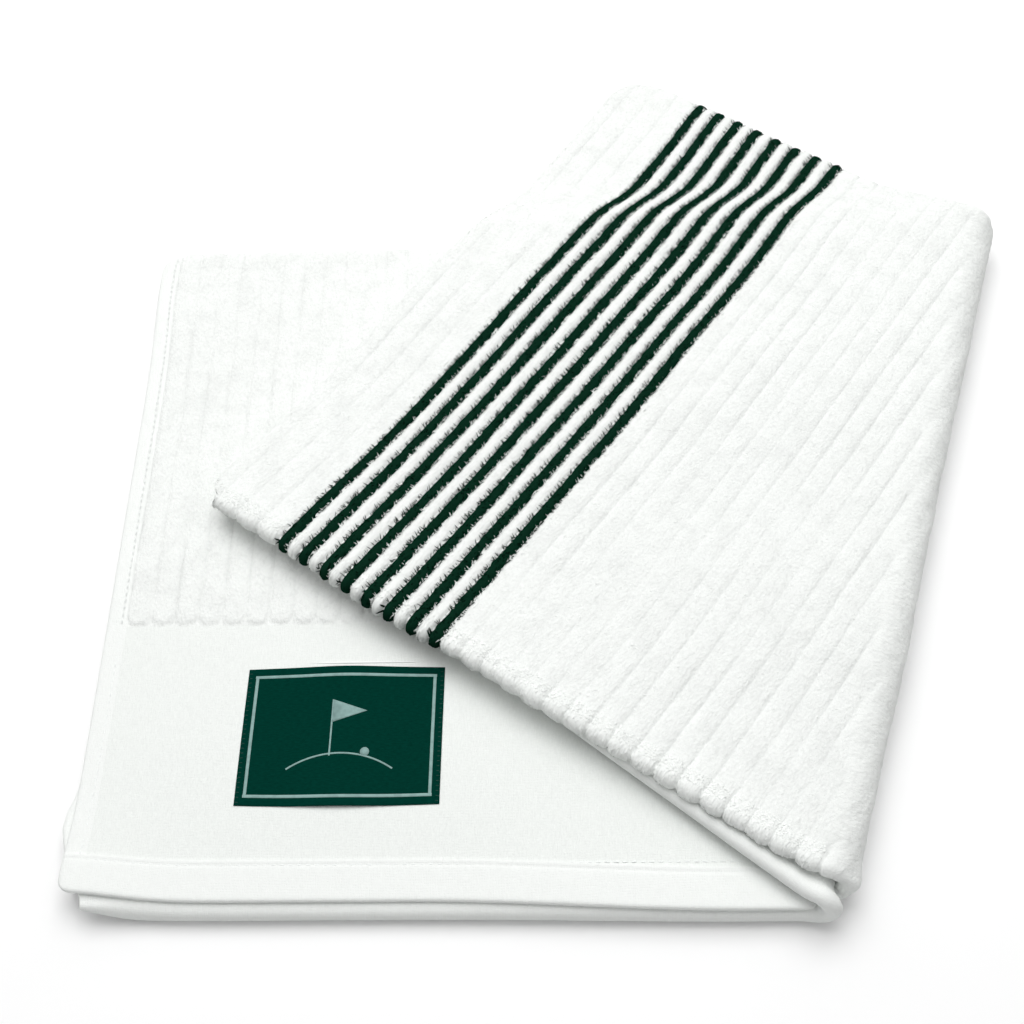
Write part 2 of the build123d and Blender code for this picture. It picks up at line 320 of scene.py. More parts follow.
def fold(x, y, z):
    """Carries the stack over the side fold, lets the flap down to the table, and adds its waves."""
    x, y, z = soften_corners(x, y, z)
    out, along = to_fold_line(x, y)
    turn = np.clip(out / SIDE_FOLD_CLOTH, 0, 1)
    angle = math.pi * turn
    radius = AXIS_Z - z
    past = np.clip(out - SIDE_FOLD_CLOTH, 0, None)
    new_out = np.where(out < 0, out, radius * np.sin(angle) - past)
    new_z = AXIS_Z - radius * np.cos(angle)
    new_x, new_y = from_fold_line(new_out, along)
    way = smooth((new_y - DEPTH + DRAPE_LEAD) / DRAPE_RUN)
    new_z = new_z - AXIS_Z * way * turn
    new_z = new_z * (1 + 0.05 * noise(new_x / 62 + 3.1, new_y / 55, 11))
    across = np.clip(past / (TOWEL_WIDTH - BASE_WIDTH), 0, 1)
    new_x = new_x + flap_bow(x, y / DEPTH) * smooth(2 * across)
    wavy = np.where(past > 0, smooth(8 * across), np.sin(angle))
    new_x = new_x + wavy * 0.9 * noise(new_x / 85, new_y / 45, 21)
    return new_x, new_y, new_z


def pile_noise(x, along, seed):
    """The uneven tops of the pile, and a slower unevenness of the cloth."""
    fine = 0.16 * noise(x / 1.7, along / 2.3, seed) + 0.12 * noise(x / 3.1, along / 4.2, seed + 1)
    return fine + 0.18 * noise(x / 13, along / 17, seed + 2)


def cloth_surface(f, x, side_a, stretch=True, raised=0.0):
    """Places in the flat stack of points on one side of the cloth, with how far along the cloth they are
    and how deep in a groove, which sets the painted shade there. f holds what the rows say of each. Side A
    has the pile. With stretch, the ribs keep their width round the side fold."""
    out, along = to_fold_line(x, f["y"])
    flapness = smooth((out + 6) / (SIDE_FOLD_CLOTH + 12))
    across_flap = np.clip((out - SIDE_FOLD_CLOTH) / 260, 0, 1)
    edge = np.minimum(x, TOWEL_WIDTH - x)
    rounding = np.sqrt(np.clip(1 - (1 - np.clip(edge / 1.6, 0, 1)) ** 2, 0.004, 1))
    middle_z, half = rolled_hem(f, x, flapness)
    if side_a:
        mid_radius = AXIS_Z - f["z"]
        turned = SIDE_FOLD_CLOTH - (SIDE_FOLD_CLOTH - out) * math.pi * mid_radius / SIDE_FOLD_CLOTH
        ribs_out = np.where((out < SIDE_FOLD_CLOTH) & stretch, turned, out)
        rib_x = from_fold_line(ribs_out, along)[0]
        pile, painted_groove_shade = rib_shape(rib_x, f["past_border"], f["leaf"] > 1.7, f["y"], f["along"])
        rough = pile_noise(rib_x, f["along"], 5) * np.where(f["past_border"] > 0, 1, 0.25)
        offset = (half + pile + raised + rough * smooth(f["from_hem"] / 4)) * rounding
    else:
        # The near fold is filled at the flap's side hem, so that it doesn't gape there
        at_side_hem = smooth((x - TOWEL_WIDTH + 16) / 8)
        filled = at_side_hem * np.exp(-((f["y"] - NEAR_CENTRE) / 9) ** 2) * (f["leaf"] > 2.9)
        offset, painted_groove_shade = -(half + 0.75 * filled) * np.maximum(rounding, filled), 0 * x
    y = f["y"] + offset * f["ny"]
    z = middle_z + offset * f["nz"]
    near = np.exp(-((f["y"] - NEAR_CENTRE) / 32) ** 2)
    y = y + near_edge_shift(f["leaf"], x, flapness, across_flap) * near
    # Leaf 2 peeps out a little at the side edge, and draws back at the corner
    side_edge = (np.abs(f["leaf"] - 2) < 0.3) * np.exp(-x / 12)
    peep = 3.8 * np.exp(-((y - 29) / 11) ** 2) - 8.0 * np.exp(-((y + 4) / 12) ** 2)
    return x - side_edge * peep, y, z, f["along"] + 0 * x, painted_groove_shade


def cloth_points(rows, xs, side_a, stretch):
    """Points of one side of the cloth in the flat stack, rows by columns."""
    x = np.broadcast_to(xs[None, :], (len(rows["y"]), len(xs)))
    f = {name: np.broadcast_to(values[:, None], x.shape) for name, values in rows.items()}
    return cloth_surface(f, x, side_a, stretch)


def rolled_hem(f, x, flapness):
    """Middle height and half thickness. Leaf 2 ends in a fat rolled hem, in front of the stack."""
    rolled = (f["leaf"] == 2) * (1 - smooth((f["from_hem"] - 4) / 5))
    fat = 0.32 + 0.68 * smooth(x / 30)
    radius = (4.2 * (1 - flapness) + 3.2 * flapness) * fat
    sag = (3.9 * (1 - flapness) - 0.1 * flapness) * fat
    edge = np.clip(1 - f["from_hem"] / radius, 0, 1)
    round_end = radius * np.sqrt(1 - edge ** 2)
    half = f["side"] * (1 - rolled) + round_end * rolled
    return f["z"] - sag * rolled, half


def columns(start, end, pitch):
    """Places across the cloth: close together at a side edge, and on the edges of every rib."""
    close = np.array([0, 0.15, 0.45, 0.9, 1.5, 2.4])
    first, last = max(start, close[-1]), min(end, TOWEL_WIDTH - close[-1])
    places = [close[:-1] if start <= 0 else [start], TOWEL_WIDTH - close if end >= TOWEL_WIDTH else [end]]
    stops = [stop for stop in (first, *sorted(TOWEL_WIDTH - RIB_EDGES), last) if first <= stop <= last]
    for here, there in zip(stops, stops[1:]):
        places += [steps(here, there, pitch), [here + 0.4, there - 0.4]]
    return np.unique(np.round(np.concatenate(places), 4))


TERRY, FLAT_WEAVE, HEMMED = 0, 1, 2


def finish_of(x, past_border, from_hem, upper_side):
    """Which of the three finishes the cloth has at a place. The flap's side hem is turned under."""
    at_side = (x < SIDE_HEM) | ((x > TOWEL_WIDTH - SIDE_HEM) & ~upper_side)
    return np.where(at_side | (from_hem < HEM), HEMMED, np.where(past_border < 0, FLAT_WEAVE, TERRY))


def grid_faces(rows, columns, closed=False):
    """Quads between rows of points. Closed columns join the last to the first."""
    here = np.arange(columns if closed else columns - 1)
    there = (here + 1) % columns
    start = np.arange(rows - 1)[:, None] * columns
    quads = np.stack([start + here, start + there, start + columns + there, start + columns + here], axis=2)
    return quads.reshape(-1, 4).tolist()


def add_cloth_uv(mesh, cloth):
    """Gives each corner of a mesh its point's place on the cloth, in millimetres across and along."""
    corners = np.zeros(len(mesh.loops), np.int32)
    mesh.loops.foreach_get("vertex_index", corners)
    mesh.uv_layers.new(name="cloth").data.foreach_set("uv", cloth[corners].ravel())


def stack_mesh(xs, rows, stretch):
    """The stack as one closed sheet with thickness, still flat: a ring of rows for each column."""
    count = len(rows["y"])
    order = np.arange(count)
    kept = (rows["from_hem"] < 60) | ((rows["leaf"] % 1 > 0) & (order % 2 == 0)) | (order % 5 == 0)
    kept[[0, -1]] = False
    back = order[kept][::-1]
    sides = [cloth_points(rows, xs, True, stretch)]
    sides.append(cloth_points({name: values[back] for name, values in rows.items()}, xs, False, stretch))
    x, y, z, along, painted_groove_shade = [np.vstack(pair).T for pair in zip(*sides)]
    width, ring = x.shape
    faces = grid_faces(width, ring, closed=True)
    rings = [np.concatenate([rows[name], rows[name][back]]) for name in ("past_border", "from_hem")]
    past_border, from_hem = [(values + np.roll(values, -1)) / 2 for values in rings]
    middle_x = (xs[:-1] + xs[1:])[:, None] / 2
    upper_side = np.arange(ring) < count
    finish = finish_of(middle_x, past_border, from_hem, upper_side).reshape(-1).tolist()
    for column, flip in ((0, True), (width - 1, False)):
        wall = side_wall(back, count, column * ring, flip)
        faces += wall
        finish += [HEMMED] * len(wall)
    mesh = bpy.data.meshes.new("stack")
    mesh.from_pydata(np.stack([x, y, z], axis=2).reshape(-1, 3).tolist(), [], faces)
    mesh.attributes.new("finish", "INT", "FACE").data.foreach_set("value", finish)
    # The painted shade of the rib grooves, kept on the points for the terry material
    mesh.attributes.new("painted_groove_shade", "FLOAT", "POINT").data.foreach_set("value", painted_groove_shade.ravel())
    add_cloth_uv(mesh, np.stack([x, along], axis=2).reshape(-1, 2))
    return mesh


def side_wall(back, count, first, flip):
    """Closes the cloth at a side edge, between the rows of its two sides."""
    stops = [0, *back[::-1], count - 1]
    lower = {row: first + count + place for place, row in enumerate(back)}
    faces = []
    for here, there in zip(stops, stops[1:]):
        face = [first + row for row in range(here, there + 1)]
        face += [lower[row] for row in (there, here) if row in lower]
        faces.append(face[::-1] if flip else face)
    return faces


def read_vectors(items, attribute):
    """A vector of each of a mesh's items, as an array."""
    vectors = np.zeros(len(items) * 3)
    items.foreach_get(attribute, vectors)
    return vectors.reshape(-1, 3)


CUT_ROOM = 0.4         # a little room at both cuts, so that the opened flap clears the base
FOLD_START, FOLD_END = -CUT_ROOM, SIDE_FOLD_CLOTH + CUT_ROOM


def cut_and_fold(mesh):
    """Cuts the flat stack along both ends of the side fold, then folds it. Keeps its normals for its
    pieces, and says of each face which of the three it belongs to."""
    bm = bmesh.new()
    bm.from_mesh(mesh)
    for out in (FOLD_START, FOLD_END):
        everything = bm.verts[:] + bm.edges[:] + bm.faces[:]
        place = (*from_fold_line(out, 0), 0)
        outward = (math.cos(TILT), -math.sin(TILT), 0)
        bmesh.ops.bisect_plane(bm, geom=everything, dist=1e-4, plane_co=place, plane_no=outward)
    bm.faces.ensure_lookup_table()
    out = np.array([to_fold_line(*face.calc_center_median()[:2])[0] for face in bm.faces])
    bm.to_mesh(mesh)
    bm.free()
    points = np.stack(fold(*read_vectors(mesh.vertices, "co").T), axis=1)
    mesh.vertices.foreach_set("co", ((points + CORNER) * MM).ravel())
    mesh.update()
    normals = read_vectors(mesh.vertex_normals, "vector").ravel()
    mesh.attributes.new("rest_normal", "FLOAT_VECTOR", "POINT").data.foreach_set("vector", normals)
    return np.where(out < FOLD_START, 0, np.where(out < FOLD_END, 1, 2))


def new_object(name, mesh, *materials):
    """Links a mesh as an object with its materials."""
    thing = bpy.data.objects.new(name, mesh)
    bpy.context.scene.collection.objects.link(thing)
    for material in materials:
        mesh.materials.append(material)
    return thing


def piece_of_cloth(source, name, keep):
    """The kept faces as a closed piece of their own, shaded as part of the whole cloth."""
    bm = bmesh.new()
    bm.from_mesh(source)
    finish = bm.faces.layers.int["finish"]
    for face in bm.faces:
        face.material_index = face[finish]
    bmesh.ops.delete(bm, geom=[face for face, kept in zip(bm.faces, keep) if not kept], context="FACES")
    bmesh.ops.holes_fill(bm, edges=[edge for edge in bm.edges if edge.is_boundary], sides=0)
    mesh = bpy.data.meshes.new(name)
    bm.to_mesh(mesh)
    bm.free()
    normals = read_vectors(mesh.attributes["rest_normal"].data, "vector")
    mesh.attributes.remove(mesh.attributes["rest_normal"])
    mesh.shade_smooth()
    mesh.normals_split_custom_set_from_vertices(normals)
    return new_object(name, mesh, *CLOTH_MATERIALS)


# ---- materials ----
class Shader:
    """Short calls for building a node material."""

    def __init__(self, name, roughness, specular=0.0):
        self.material = bpy.data.materials.new(name)
        self.material.use_nodes = True
        self.tree = self.material.node_tree
        self.surface = self.tree.nodes["Principled BSDF"]
        self.surface.inputs["Roughness"].default_value = roughness
        self.surface.inputs["Specular IOR Level"].default_value = specular

    def node(self, kind, **inputs):
        """A new node with its inputs plugged in by name."""
        made = self.tree.nodes.new(kind)
        for name, value in inputs.items():
            self.plug(made.inputs[name.replace("_", " ")], value)
        return made

    def plug(self, socket, value):
        """Links another node's output to a socket, or sets the socket's own value."""
        if isinstance(value, bpy.types.NodeSocket):
            self.tree.links.new(value, socket)
        else:
            socket.default_value = value

    def math(self, operation, *values):
        """One step of arithmetic."""
        made = self.tree.nodes.new("ShaderNodeMath")
        made.operation = operation
        for socket, value in zip(made.inputs, values):
            self.plug(socket, value)
        return made.outputs[0]

    def cloth(self, across=1.0, along=1.0):
        """Millimetres across and along the cloth, stretched."""
        coordinate = self.node("ShaderNodeUVMap")
        mapping = self.node("ShaderNodeMapping", Vector=coordinate.outputs[0], Scale=(across, along, 1))
        return mapping.outputs[0]

    def noise(self, vector, scale, detail=2.0, roughness=0.5):
        """Cloudy noise from 0 to 1."""
        settings = {"Scale": scale, "Detail": detail, "Roughness": roughness}
        return self.node("ShaderNodeTexNoise", Vector=vector, **settings).outputs[0]

    def waves(self, vector, direction, scale, distortion):
        """Bands side by side in one direction."""
        made = self.node("ShaderNodeTexWave", Vector=vector, Scale=scale, Distortion=distortion)
        made.bands_direction = direction
        return made.outputs["Fac"]

    def mix(self, share, first, second):
        """The first colour, and towards a share of 1 the second."""
        made = self.tree.nodes.new("ShaderNodeMix")
        made.data_type = "RGBA"
        for socket, value in zip((made.inputs[0], made.inputs[6], made.inputs[7]), (share, first, second)):
            self.plug(socket, value)
        return made.outputs[2]

    def ramp(self, value, low, high):
        """Runs from 0 at low to 1 at high."""
        made = self.node("ShaderNodeMapRange", Value=value)
        made.inputs[1].default_value = low
        made.inputs[2].default_value = high
        made.interpolation_type = "SMOOTHSTEP"
        return made.outputs[0]

    def shade(self, share, colour, depth):
        """The colour, and towards a share of 1 the same colour made darker by a depth from 0 to 1."""
        return self.mix(share, colour, self.mix(depth, colour, (0, 0, 0, 1)))

    def finish(self, colour, height, distance):
        """Colour and bump. distance is in millimetres."""
        self.plug(self.surface.inputs["Base Color"], colour)
        bump = self.node("ShaderNodeBump", Height=height, Distance=distance * MM, Strength=1.0)
        self.plug(self.surface.inputs["Normal"], bump.outputs[0])
        return self.material


def colour_of(slot):
    """The record's base colour of a material slot."""
    found = [m for m in frame["record"]["materials"] if m["slot"] == slot]
    return (*found[0]["base_color"], 1)


def terry_material(slot, bump):
    """Looped pile: small round loops in loose rows, with painted shade between them and down in the grooves."""
    shader = Shader(slot, 0.95)
    loops = shader.node("ShaderNodeTexVoronoi", Vector=shader.cloth(1.0, 0.75), Scale=1.15, Randomness=0.9)
    loops.feature = "SMOOTH_F1"
    crumbs = shader.noise(shader.cloth(), 2.6, 3.0, 0.6)
    height = shader.math("SUBTRACT", shader.math("MULTIPLY", crumbs, 0.9), loops.outputs["Distance"])
    # Painted shade in the rib grooves, read from the points and broken up along the ribs
    painted_groove_shade = shader.node("ShaderNodeAttribute")
    painted_groove_shade.attribute_name = "painted_groove_shade"
    broken = shader.ramp(shader.noise(shader.cloth(0.12, 0.035), 1.0, 2.0), 0.3, 0.65)
    patches = shader.ramp(shader.noise(shader.cloth(), 0.09, 3.0, 0.6), 0.4, 0.7)
    # Painted shade in the hollows between the loops, where the bump is low
    colour = shader.shade(shader.ramp(height, 0.1, -0.45), colour_of(slot), 0.09)
    colour = shader.shade(patches, colour, 0.05)
    painted_groove_share = shader.math("MULTIPLY", painted_groove_shade.outputs["Fac"], broken)
    return shader.finish(shader.shade(painted_groove_share, colour, 0.16), height, bump)


YARN_PITCH = 0.55       # of the flat weave, in millimetres


def weave_material(slot, bump, depth):
    """Flat plain weave with uneven yarns both ways, and painted shade where the yarns lie low."""
    shader = Shader(slot, 0.9)
    scale = math.pi / (10 * YARN_PITCH)
    warp, weft = [shader.waves(shader.cloth(), direction, scale, 0.5) for direction in ("X", "Y")]
    streaks = shader.noise(shader.cloth(2.4, 0.3), 1.0, 3.0, 0.65)
    picks = shader.noise(shader.cloth(0.6, 2.0), 1.0, 3.0, 0.65)
    yarns = shader.math("MULTIPLY", warp, weft)
    uneven = shader.math("ADD", streaks, shader.math("MULTIPLY", picks, 0.7))
    height = shader.math("ADD", shader.math("MULTIPLY", yarns, 0.25), uneven)
    # Painted shade where the uneven yarns lie low, darkened by the share depth
    colour = shader.shade(shader.ramp(uneven, 1.1, 0.6), colour_of(slot), depth)
    return shader.finish(colour, height, bump)


# In the order of TERRY, FLAT_WEAVE and HEMMED
CLOTH_MATERIALS = (terry_material("terry_white", 0.32),
                   weave_material("flat_weave_white", 0.2, 0.06),
                   weave_material("hem_white", 0.2, 0.03))
GREEN_TERRY = terry_material("terry_green", 0.4)


def yarn_material(slot, depth):
    """Soft yarn, unevenly dark, for the label's lines and the loops of the pile."""
    shader = Shader(f"{slot}_yarn", 0.95)
    uneven = shader.noise(shader.node("ShaderNodeTexCoord").outputs["Object"], 400.0, 2.0)
    colour = shader.shade(shader.ramp(uneven, 0.4, 0.65), colour_of(slot), depth)
    shader.plug(shader.surface.inputs["Base Color"], colour)
    return shader.material


def label_material():
    """Dense woven label, with fine ribs both ways."""
    shader = Shader("label_green", 0.6)
    picks = shader.waves(shader.cloth(), "Y", 0.9, 0.3)
    ends = shader.waves(shader.cloth(), "X", 0.7, 0.3)
    threads = shader.noise(shader.cloth(0.5, 2.2), 1.0, 3.0, 0.6)
    height = shader.math("ADD", picks, shader.math("MULTIPLY", ends, 0.5))
    colour = shader.shade(shader.ramp(threads, 0.7, 0.3), colour_of("label_green"), 0.25)
    return shader.finish(colour, height, 0.06)


def thread_material(slot):
    """Twisted thread: fine slanting ridges."""
    if slot in bpy.data.materials:
        return bpy.data.materials[slot]
    shader = Shader(slot, 0.7)
    coordinate = shader.node("ShaderNodeTexCoord").outputs["Object"]
    ridges = shader.waves(coordinate, "DIAGONAL", 900.0, 1.0)
    return shader.finish(shader.shade(ridges, colour_of(slot), 0.15), ridges, 0.08)


# ---- the cloth in its three parts, with the finest rows on the leaves that show ----
BASE_ROWS = section({1: 2.2, 2: 4, 3: 12, 4: 12})
FLAP_ROWS = section({1: 5, 2: 5, 3: 4, 4: 2.0})
base_stack = stack_mesh(columns(0, BASE_WIDTH + 110, 1.5), BASE_ROWS, False)
flap_stack = stack_mesh(columns(BASE_WIDTH - 8, TOWEL_WIDTH, 1.3), FLAP_ROWS, True)
base_parts = cut_and_fold(base_stack)
flap_parts = cut_and_fold(flap_stack)
base_cloth = piece_of_cloth(base_stack, "base_cloth", base_parts == 0)
side_fold_cloth = piece_of_cloth(flap_stack, "side_fold_cloth", flap_parts == 1)
flap_cloth = piece_of_cloth(flap_stack, "flap_cloth", flap_parts == 2)


# ---- things that lie on the cloth ----
def add_piece(name, slot, material, places, faces, cloth=None):
    """A piece from places in the flat stack, folded with the towel."""
    points = (np.stack(fold(*[np.ravel(values) for values in places]), axis=1) + CORNER) * MM
    mesh = bpy.data.meshes.new(name)
    mesh.from_pydata(points.tolist(), [], faces)
    if cloth is not None:
        add_cloth_uv(mesh, cloth)
    mesh.shade_smooth()
    return new_object(name, mesh, material)


def joined(parts):
    """Several parts as one: each gives arrays of what its points have, and its faces."""
    faces, first = [], 0
    for arrays, quads in parts:
        faces += [[corner + first for corner in quad] for quad in quads]
        first += arrays[0].size
    alike = zip(*[arrays for arrays, quads in parts])
    return [np.concatenate([values.ravel() for values in same]) for same in alike], faces


def at_along(rows, along):
    """What the rows say at places along the cloth."""
    return {name: np.interp(along, rows["along"], values) for name, values in rows.items()}


# How far along the cloth the green pile starts and ends, and the flap's upper face and near fold lie
PILE_START = BORDER_END + 2
PILE_END = FLAP_ROWS["along"][-1] - BORDER_END - 2
TOP_START = FLAP_ROWS["along"][np.argmax(FLAP_ROWS["leaf"] > 1)]
NEAR_FOLD = FLAP_ROWS["along"][FLAP_ROWS["leaf"] == 3.5].mean()
TOP_END = NEAR_FOLD + 9


def green_stripe(number):
    """One green rib: a closed strip of pile that follows the cloth, with an uneven edge."""
    left = TOWEL_WIDTH - RIB_EDGES[FIRST_GREEN + 2 * number]
    share = np.array([0.02, 0.07, 0.16, 0.3, 0.5, 0.7, 0.84, 0.93, 0.98])
    heights = np.array([-0.25, 0.22, 0.34, 0.38, 0.38, 0.38, 0.34, 0.22, -0.25])
    own_rows = FLAP_ROWS["along"][(FLAP_ROWS["along"] > PILE_START) & (FLAP_ROWS["along"] < PILE_END)]
    along = np.union1d(np.arange(TOP_START, TOP_END, 1.3), own_rows)
    x = left - share[None, :] * STRIPE_WIDTH + 0 * along[:, None]
    ragged = np.array([1, 1, 0.6, 0, 0, 0, 0.6, 1, 1])
    for seed, length in ((31, 1.3), (32, 3.4)):
        side = np.where(share > 0.5, 50, 0)[None, :]
        x = x + 0.30 * ragged * noise(side + 7.0 * number + 0 * x, along[:, None] / length, seed)
    f = at_along(FLAP_ROWS, along[:, None] + 0 * x)
    top = cloth_surface(f, x, True, raised=heights + 0 * x)[:4]
    under = cloth_surface(f, x[:, ::-1], True, raised=-0.6 + 0 * x)[:4]
    ring = [np.hstack(pair) for pair in zip(top, under)]
    return ring, grid_faces(len(along), 2 * len(share), closed=True)


def make_stripes():
    """The eight green ribs as one piece."""
    (x, y, z, along), faces = joined([green_stripe(number) for number in range(STRIPES)])
    cloth = np.stack([x, along], axis=1)
    return add_piece("green_stripes", "terry_green", GREEN_TERRY, (x, y, z), faces, cloth)


def chance(count, seed):
    """Repeatable random numbers from 0 to 1."""
    number = np.arange(count)
    return lattice(number, 0 * number, seed)


def along_top(count, seed):
    """Random places along the flap's upper face."""
    return TOP_START + (TOP_END - TOP_START) * chance(count, seed)


def place_yarns(x, along, shares, width, heading, length, raised):
    """Points and faces of short yarns on the flap's pile, each a narrow strip of four pairs of points.
    x and along say where each yarn is on the cloth, and shares, width and raised how it runs."""
    side = np.array([-0.5, 0.5])[None, None, :] * width
    ahead, across = np.cos(heading)[:, None, None], np.sin(heading)[:, None, None]
    run = shares * length[:, None, None]
    yarn_x = np.minimum(x[:, None, None] + run * ahead - side * across, TOWEL_WIDTH - 0.3)
    yarn_along = along[:, None, None] + run * across + side * ahead
    points = cloth_surface(at_along(FLAP_ROWS, yarn_along), yarn_x, True, raised=raised + 0 * side)[:3]
    faces = np.array(grid_faces(4, 2)) + 8 * np.arange(len(x))[:, None, None]
    return points, faces.reshape(-1, 4).tolist()


def pile_loops(x, along, seed, length, height, width):
    """Loops: low arches that lie any way."""
    count = len(x)
    shares = np.array([-0.5, -0.2, 0.2, 0.5])[None, :, None]
    height = (height * (0.4 + 1.2 * chance(count, seed)))[:, None, None]
    raised = height * (1 - 4 * shares ** 2) - 0.12
    length = length * (0.6 + 0.8 * chance(count, seed + 1))
    return place_yarns(x, along, shares, width, math.tau * chance(count, seed + 2), length, raised)


def pile_hairs(x, along, way, seed, length, height, width):
    """Hairs: they lean over to one side, way, and taper to a point."""
    count = len(x)
    shares = np.array([0, 0.35, 0.7, 1])[None, :, None]
    height = (height * (0.5 + chance(count, seed)))[:, None, None]
    raised = height * np.sqrt(shares) - 0.15
    length = length * (0.5 + chance(count, seed + 1))
    heading = np.where(way > 0, 0, math.pi) + 1.9 * (chance(count, seed + 2) - 0.5)
    return place_yarns(x, along, shares, width * (1.1 - shares), heading, length, raised)


def loops_piece(name, slot, depth, *groups):
    """Several groups of loops as one piece."""
    return add_piece(name, slot, yarn_material(slot, depth), *joined(groups))


def on_white(x):
    """Which places across the cloth are not on a green rib."""
    rib = np.searchsorted(RIB_EDGES, TOWEL_WIDTH - x, side="right") - 1
    return ~RIB_GREEN[np.clip(rib, 0, len(RIB_GREEN) - 1)]


def loops_over_flap(count, seed):
    """White loops all over the flap's upper face."""
    x = TOWEL_WIDTH - (TOWEL_WIDTH - BASE_WIDTH) * chance(count, seed)
    along = along_top(count, seed + 1)
    out = to_fold_line(x, at_along(FLAP_ROWS, along)["y"])[0]
    kept = on_white(x) & (out > SIDE_FOLD_CLOTH + 2)
    return x[kept], along[kept]


def loops_at_near_fold(count, seed):
    """White loops that stand out from the flap's near edge."""
    x = TOWEL_WIDTH - (TOWEL_WIDTH - BASE_WIDTH - 24) * chance(count, seed)
    along = NEAR_FOLD + 7 * (2 * chance(count, seed + 1) - 1)
    kept = on_white(x)
    return x[kept], along[kept]


def hairs_at_stripe_edges(count, seed, off):
    """Roots of hairs beside the edges of the green stripes, off to the white side, and which way x grows
    from each root to its edge."""
    edge = (chance(count, seed) * 2 * STRIPES).astype(int)
    outwards = np.where(edge % 2 == 0, -1, 1)
    u = RIB_EDGES[FIRST_GREEN + edge] + outwards * off
    return TOWEL_WIDTH - u, along_top(count, seed + 1), outwards * np.sign(off)


def loops_on_stripes(count, seed):
    """Loops all over the green stripes."""
    stripe = (chance(count, seed) * STRIPES).astype(int)
    u = RIB_EDGES[FIRST_GREEN + 2 * stripe] + STRIPE_WIDTH * (0.1 + 0.8 * chance(count, seed + 1))
    return TOWEL_WIDTH - u, along_top(count, seed + 2)


def make_white_loops():
    """The flap's white loops over its face and round its near edge, and white hairs over the stripes."""
    return loops_piece("white_loops", "terry_white", 0.04,
                       pile_loops(*loops_over_flap(11000, 61), 65, 1.5, 0.22, 0.4),
                       pile_loops(*loops_at_near_fold(9000, 71), 75, 1.0, 0.32, 0.55),
                       pile_hairs(*hairs_at_stripe_edges(8000, 81, 0.3), 85, 1.0, 0.5, 0.4))


def make_green_loops():
    """The green loops on the stripes, and green hairs over their edges."""
    return loops_piece("green_loops", "terry_green", 0.75,
                       pile_loops(*loops_on_stripes(9000, 91), 95, 1.4, 0.6, 0.4),
                       pile_hairs(*hairs_at_stripe_edges(10000, 101, -0.5), 105, 1.4, 0.6, 0.42))


LABEL_LOW, LABEL_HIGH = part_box("label")
LABEL_LEFT = LABEL_LOW.x / MM - CORNER.x
LABEL_NEAR = LABEL_LOW.y / MM - CORNER.y
LABEL_WIDTH = (LABEL_HIGH.x - LABEL_LOW.x) / MM
LABEL_DEPTH = (LABEL_HIGH.y - LABEL_LOW.y) / MM
LABEL_THICK = 0.55
LABEL_INSET = 3.6       # from the label's edge to its frame line
LABEL_LINE = 1.45       # width of that line
LABEL_TOP = LABEL_THICK / 2


def label_height(u, v):
    """The label stands off the cloth a little where it isn't sewn, at its near and far edges."""
    a = np.clip(u / LABEL_WIDTH, 0, 1)
    b = np.clip(v / LABEL_DEPTH, 0, 1)
    arch = np.exp(-((a - 0.5) / 0.2) ** 2)
    return 0.25 + 0.9 * arch * (np.exp(-(b / 0.2) ** 2) + np.exp(-((1 - b) / 0.2) ** 2)) + 0.25 * arch


def label_place(u, v, raised):
    """A place on the label, u across and v along it, in the flat stack. Its outline is slightly bowed."""
    a, b = u / LABEL_WIDTH, v / LABEL_DEPTH
    x = LABEL_LEFT + u + 0.5 * (b - 0.5)
    y = LABEL_NEAR + v + 0.7 * np.sin(math.pi * np.clip(a, 0, 1)) * (2 * b - 1)
    return x, y, MID_Z[1] + FLAT_SIDE + label_height(u, v) + raised


def label_places(size):
    """Places across the label from edge to edge, closer together at both edges."""
    edge = np.array([0, 0.15, 0.5])
    return np.concatenate([edge, np.arange(1.2, size - 1.2, 1.2), size - edge[::-1]])


def make_label():
    """The woven label: a thin closed sheet with soft edges."""
    u, v = np.meshgrid(label_places(LABEL_WIDTH), label_places(LABEL_DEPTH))
    edge = np.minimum(np.minimum(u, LABEL_WIDTH - u), np.minimum(v, LABEL_DEPTH - v))
    half = LABEL_THICK / 2 * np.sqrt(np.clip(1 - (1 - np.clip(edge / 0.5, 0, 1)) ** 2, 0.05, 1))
    top = label_place(u, v, half)
    low = label_place(u, v, -half)
    rows, across = u.shape
    faces = grid_faces(rows, across)
    count = rows * across
    faces += [[corner + count for corner in reversed(quad)] for quad in faces[:]]
    rim = [*range(across), *[row * across + across - 1 for row in range(1, rows)]]
    rim += [*range(count - 2, count - across - 1, -1), *[row * across for row in range(rows - 2, 0, -1)]]
    faces += [[there, here, here + count, there + count] for here, there in zip(rim, rim[1:] + rim[:1])]
    places = [np.concatenate([np.ravel(a), np.ravel(b)]) for a, b in zip(top, low)]
    cloth = np.stack([np.tile(u.ravel(), 2), np.tile(v.ravel(), 2)], axis=1)
    return add_piece("label", "label_green", label_material(), places, faces, cloth)


def line(start, end, count=12):
    """Places from one point of the label to another."""
    return [(start[0] + (end[0] - start[0]) * k / count, start[1] + (end[1] - start[1]) * k / count)
            for k in range(count + 1)]


def arc(centre, radius, start, end, count=24):
    """Places round part of a circle, from one angle to another."""
    angles = [math.radians(start + (end - start) * k / count) for k in range(count + 1)]
    return [(centre[0] + radius * math.cos(a), centre[1] + radius * math.sin(a)) for a in angles]


